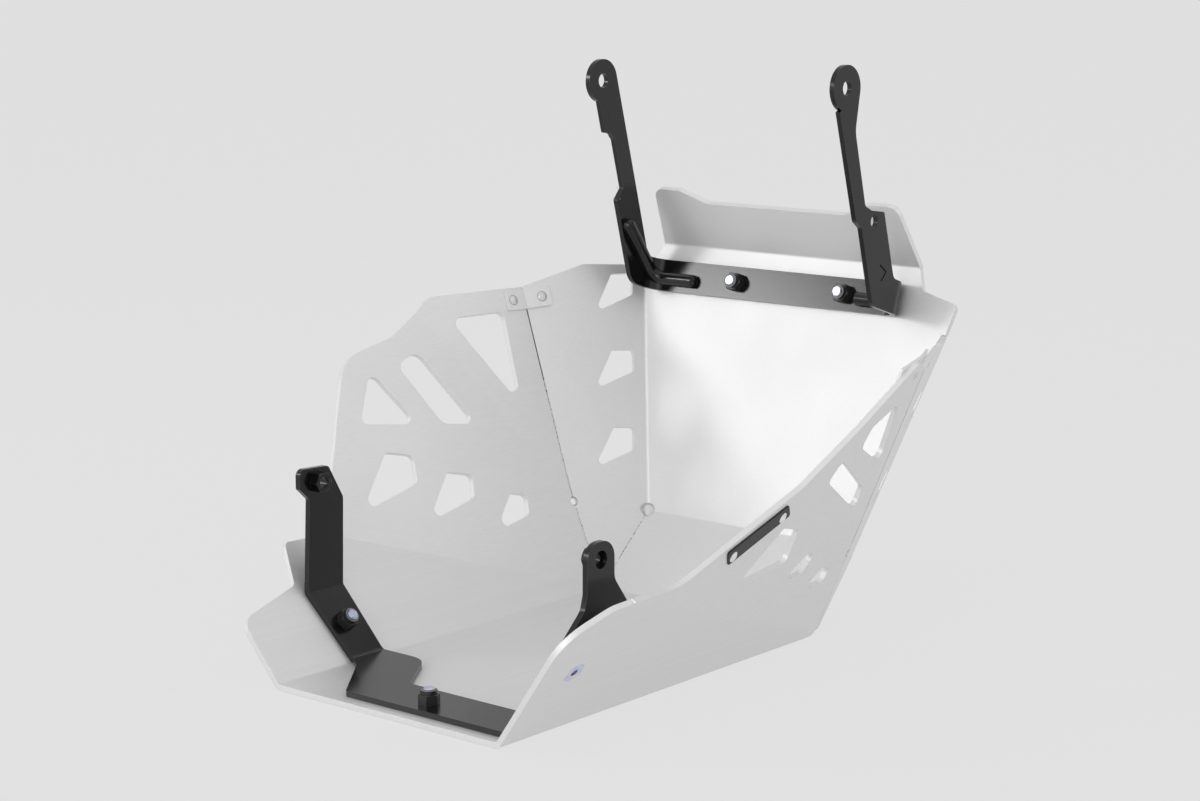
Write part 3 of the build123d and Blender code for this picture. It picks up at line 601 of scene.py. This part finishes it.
def weldPiece(name, side, size, shift, material):
    model = makeDab(size, material)
    copies = []
    for seam in seams:
        run = seam["stop"] - seam["start"]
        count = int(run.length / weldRun["step"])
        for index in range(count):
            if scatter.random() < weldRun["missing"]:
                continue
            drift = scatter.uniform(-1, 1) * weldRun["wander"]
            spot = seam["start"] + run * ((index + shift) / count) + run.normalized() * drift
            copy = bpy.data.objects.new(name + "Dab", model.data.copy())
            bpy.context.collection.objects.link(copy)
            length = scatter.uniform(*weldRun["stretch"])
            width = scatter.uniform(*weldRun["widen"])
            turned = placed(spot, run, seam["facing"], side, drift * weldRun["turn"])
            copy.matrix_world = turned @ Matrix.Diagonal((length, width, 1, 1))
            copies.append(copy)
    bpy.data.objects.remove(model)
    piece = joinPieces(copies, name)
    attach(piece, "root")


scatter = random.Random(weldRun["seed"])
weldMetal = makePlainMetal("weldMetal", (0.70, 0.70, 0.69), roughness=0.60, metallic=0.6)
# dark grey that is painted shade: in the seams, the slits and the gaps round reliefs, rivets and heads
gapShade = makePlainMetal("gapShade", (0.22, 0.22, 0.22), roughness=0.6, metallic=0.5)
for side, word in bothSides:
    weldPiece(word + "WeldDabs", side, weldRun["dab"], shift=0.0, material=weldMetal)
    weldPiece(word + "WeldShadeSpots", side, weldRun["shadeSpot"], shift=0.5, material=gapShade)
print("welds made")


# a dark strip down in each open slit, which stands for the shade there

slitRoot = {
    "lowest": 78.0,             # mm up the slit from the knuckle
    "leftTop": 148.0,
    "rightTop": 118.0,
    "halfWidth": 0.58,
    "halfDepth": 1.0,
    "sunk": 1.6,                # mm from the sheet's inner corner to the strip's middle
    "bevel": 0.2,
    "segments": 2,
}


def makeStrip(half, bevel, segments, material):
    bpy.ops.object.select_all(action="DESELECT")
    bpy.ops.mesh.primitive_cube_add(size=2 * mm, location=(0, 0, 0))
    strip = bpy.context.object
    bpy.ops.object.mode_set(mode="EDIT")
    bpy.ops.mesh.select_all(action="SELECT")
    bpy.ops.transform.resize(value=half)
    bpy.ops.mesh.bevel(offset=bevel * mm, segments=segments, affect="EDGES")
    bpy.ops.object.mode_set(mode="OBJECT")
    strip.data.materials.append(material)
    return strip


def makeSlitRoot(name, side, top):
    halfLength = (top - slitRoot["lowest"]) / 2
    half = (halfLength, slitRoot["halfWidth"], slitRoot["halfDepth"])
    piece = makeStrip(half, slitRoot["bevel"], slitRoot["segments"], gapShade)
    piece.name = name
    facing = (shoulderFacing + cheekFacing).normalized()
    middle = knuckle + slitWay * (slitRoot["lowest"] + halfLength) - facing * slitRoot["sunk"]
    piece.matrix_world = placed(middle, slitWay, facing, side, 0)
    settle(piece)


# a shallow weld cap over each relief at the nose corners

noseFill = {
    "size": (5.7, 5.2, 0.45),   # half length, half width and half height, mm
    "sunk": 1.0,
}


def makeNoseFill(name, side):
    piece = makeDab(noseFill["size"], weldMetal)
    piece.name = name
    facing = (noseFacing + cheekFacing + frontFacing).normalized()
    piece.matrix_world = placed(cornerNose - facing * noseFill["sunk"], slitWay, facing, side, 0)
    settle(piece)


# rings, for the rims of the reliefs and for the fasteners

ringShape = {
    "segments": 36,
    "wireSegments": 8,
}
reliefRim = {
    "drop": 8.0,                # mm below the knuckle
    "ring": (3.25, 0.3),        # radius and wire, mm
    "segments": 32,
}


def makeTorus(name, ring, segments, material):
    radius, wire = ring
    bpy.ops.object.select_all(action="DESELECT")
    bpy.ops.mesh.primitive_torus_add(
        major_segments=segments,
        minor_segments=ringShape["wireSegments"],
        major_radius=radius * mm,
        minor_radius=wire * mm,
    )
    piece = bpy.context.object
    piece.name = name
    bpy.ops.object.shade_smooth()
    piece.data.materials.append(material)
    return piece


# a dark ring round each relief at the knuckle, painted shade in the gap at its edge
def makeReliefRim(name, side):
    piece = makeTorus(name, reliefRim["ring"], reliefRim["segments"], gapShade)
    facing = (sideFacing + cheekFacing).normalized()
    middle = knuckle + (cornerFloor - knuckle).normalized() * reliefRim["drop"]
    piece.matrix_world = placed(middle, cornerFloor - knuckle, facing, side, 0)
    settle(piece)


def makeRing(name, middle, facing, ring, material):
    piece = makeTorus(name, ring, ringShape["segments"], material)
    piece.matrix_world = placed(middle, facing.orthogonal(), facing, 1, 0)
    settle(piece)


for side, word in bothSides:
    makeSlitRoot(word + "SlitRoot", side, slitRoot[word + "Top"])
    makeNoseFill(word + "NoseFill", side)
    makeReliefRim(word + "ReliefRim", side)
print("slits and reliefs dressed")


# lock rings and threads of the fasteners, and dark rims round the rivets that are painted shade in the gap

fastenerTrim = {
    "lockRing": (4.75, 0.42),   # radius and wire, mm
    "thread": (3.86, 0.20),
    "threadStart": 1.0,         # mm in from the screw's end
    "threadPitch": 0.7,
    "threadTurns": 2,
    "rivetRim": (3.85, 0.16),
    "rivetHeight": 1.25,        # mm from the rim up to the rivet's top
}
endDepth = 0.02                 # mm within which a point counts as on a fastener's end face

axes = {
    "upper_left": frontFacing,
    "upper_right": frontFacing,
    "bottom": Vector((0, 0, 1)),
    "right_chamfer": chamferFacing,
    "left_chamfer": chamferFacing * Vector((-1, 1, 1)),
}


def endOf(name, axis):
    points = [corner.co / mm for corner in frame["nodes"][name].data.vertices]
    highest = max(point.dot(axis) for point in points)
    top = [point for point in points if point.dot(axis) > highest - endDepth]
    unique = {tuple(round(value, 3) for value in point) for point in top}
    return sum((Vector(point) for point in unique), Vector()) / len(unique)


scribeShade = makePlainMetal(
    "scribeShade", (0.0005, 0.0005, 0.0005), roughness=0.9, metallic=0.0, shine=0.05
)
lockGrey = makePlainMetal("lockGrey", (0.30, 0.30, 0.31), roughness=0.45, metallic=0.2)
threadShade = makePlainMetal("threadShade", (0.16, 0.17, 0.19), roughness=0.40, metallic=1.0)
for name, axis in axes.items():
    nutEnd = endOf(name + "_nut", axis)
    makeRing(name + "LockRing", nutEnd, axis, fastenerTrim["lockRing"], lockGrey)
    for turn in range(fastenerTrim["threadTurns"]):
        depth = fastenerTrim["threadStart"] + turn * fastenerTrim["threadPitch"]
        middle = endOf(name + "_screw", axis) - axis * depth
        makeRing(name + "Thread" + str(turn), middle, axis, fastenerTrim["thread"], threadShade)

# dark rims of painted shade where each rivet meets its plate
for side, word in bothSides:
    for place, facing in (("rear", shoulderFacing), ("front", cheekFacing)):
        axis = facing.normalized() * Vector((side, 1, 1))
        middle = endOf(word + "_" + place + "_rivet", axis) - axis * fastenerTrim["rivetHeight"]
        ringName = word + place.capitalize() + "RivetRim"
        makeRing(ringName, middle, axis, fastenerTrim["rivetRim"], gapShade)


# the scribed mark on the near arm, as two dark strokes

armMark = {
    "points": ((103.0, 243.4, 263.3), (103.0, 251.4, 257.4), (103.0, 245.1, 251.4)),
    "halfWidth": 0.55,
    "halfDepth": 0.06,
    "bevel": 0.04,
    "segments": 1,
    "facing": (1, 0, 0),
}


def makeMarkStroke(start, stop):
    half = ((stop - start).length / 2, armMark["halfWidth"], armMark["halfDepth"])
    stroke = makeStrip(half, armMark["bevel"], armMark["segments"], scribeShade)
    facing = Vector(armMark["facing"])
    stroke.matrix_world = placed((start + stop) / 2, stop - start, facing, 1, 0)
    return stroke


corners = [Vector(point) for point in armMark["points"]]
strokes = [makeMarkStroke(start, stop) for start, stop in zip(corners, corners[1:])]
mark = joinPieces(strokes, "armMark")
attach(mark, "root")


# dark rims round the countersunk heads, painted shade in the gap there

headRim = {
    "radius": 7.75,
    "wire": 0.16,
}
for name, axis in axes.items():
    middle = endOf(name + "_screw", -axis) + axis * headRim["wire"]
    makeRing(name + "HeadRim", middle, -axis, (headRim["radius"], headRim["wire"]), gapShade)


# bare chips in the coat of the left arm

armChips = {
    "size": (0.8, 0.55, 0.12),  # half length, half width and half height, mm
    "places": ((-132.2, 229.4, 306.0), (-132.2, 232.6, 297.0)),
    "along": (0, 0.3, -1),
    "facing": (1, -1, 0.1),
}
for index, place in enumerate(armChips["places"]):
    chip = makeDab(armChips["size"], finishes["rivet"])
    chip.name = "armChip" + str(index)
    along, facing = Vector(armChips["along"]), Vector(armChips["facing"])
    chip.matrix_world = placed(Vector(place), along, facing, 1, 0)
    settle(chip)
print("fasteners and marks trimmed")
